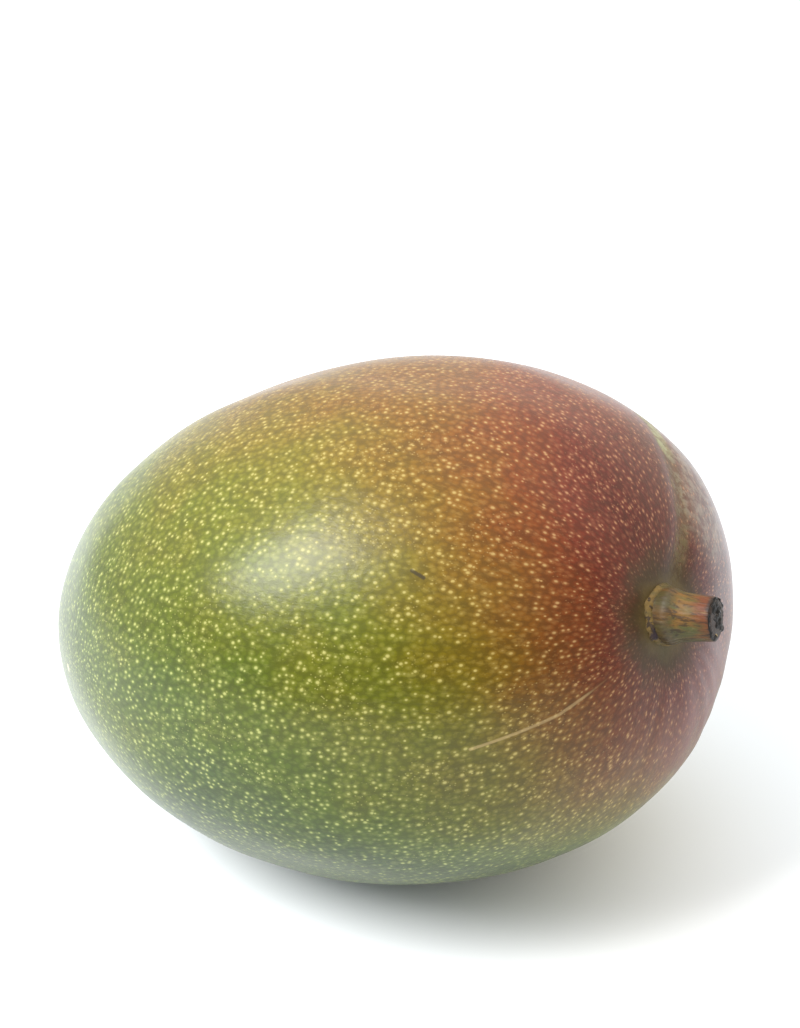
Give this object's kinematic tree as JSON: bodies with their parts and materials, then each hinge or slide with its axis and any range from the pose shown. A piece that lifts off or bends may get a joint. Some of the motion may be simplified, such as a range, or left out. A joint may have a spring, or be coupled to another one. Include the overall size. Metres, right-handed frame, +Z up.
{
  "type": "mango",
  "caption": "Whole ripe mango lying on its side, green to red speckled skin, with a cut woody stem stub; rests on a small flat spot.",
  "frame": {"origin": "centre of the object's box, on the surface it rests on", "axes": "+X along the fruit's length towards the stem end, +Z up from the surface it rests on, +Y completes the frame, so the stem leans to -Y"},
  "size_m": [0.1194, 0.0982, 0.0882],
  "materials": {
    "fruit_skin": "waxy, softly glossy skin from green at the apex to red at the stem end, with pale pores",
    "stem_bark": "fibrous cut stem, matte, with dried dark sap at the end"
  },
  "bodies": {
    "root": {"mango_fruit": "fruit_skin", "stem_stub": "stem_bark"}
  },
  "joints": []
}
